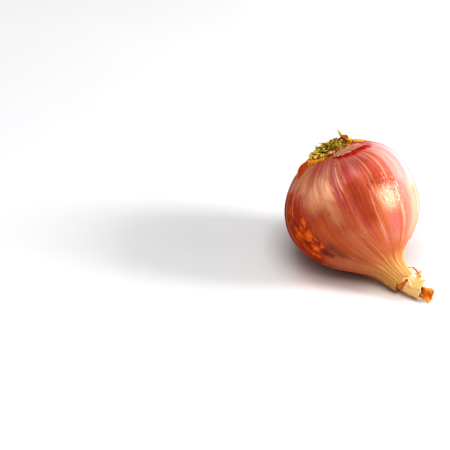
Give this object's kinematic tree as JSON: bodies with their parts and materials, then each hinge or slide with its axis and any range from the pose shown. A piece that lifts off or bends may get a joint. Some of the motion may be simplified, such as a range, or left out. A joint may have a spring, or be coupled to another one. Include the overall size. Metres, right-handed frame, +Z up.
{
  "type": "pink shallot",
  "caption": "Round pink shallot bulb with papery glossy skin, dried root plate and a short dried neck, lying on its belly.",
  "frame": {"origin": "centre of the small flat spot under the belly that the shallot rests on", "axes": "+Z up from the surface it rests on; +X along the surface towards the dried neck; +Y to the left of that direction"},
  "size_m": [0.0487, 0.0383, 0.0372],
  "materials": {
    "skin": "thin glossy pink-red bulb skin with fine veins; stands in for plant skin",
    "root_fibre": "dull fibrous olive-brown dried roots",
    "orange_skin": "thin dry orange skin",
    "pale_paper": "dusty pink-tan dry skin",
    "brown_skin": "dry orange-brown skin",
    "tan_sheath": "dry ribbed straw-coloured leaf sheath",
    "dried_leaf": "crumpled dried orange-brown leaf end"
  },
  "bodies": {
    "root": {"bulb": "skin", "root_plate": "root_fibre", "root_collar": "orange_skin", "shoulder_flap": "pale_paper", "shoulder_scrap": "brown_skin", "skin_chip": "pale_paper", "neck_sheath": "tan_sheath", "neck_curl": "tan_sheath", "dry_leaf_tip": "dried_leaf"}
  },
  "joints": []
}
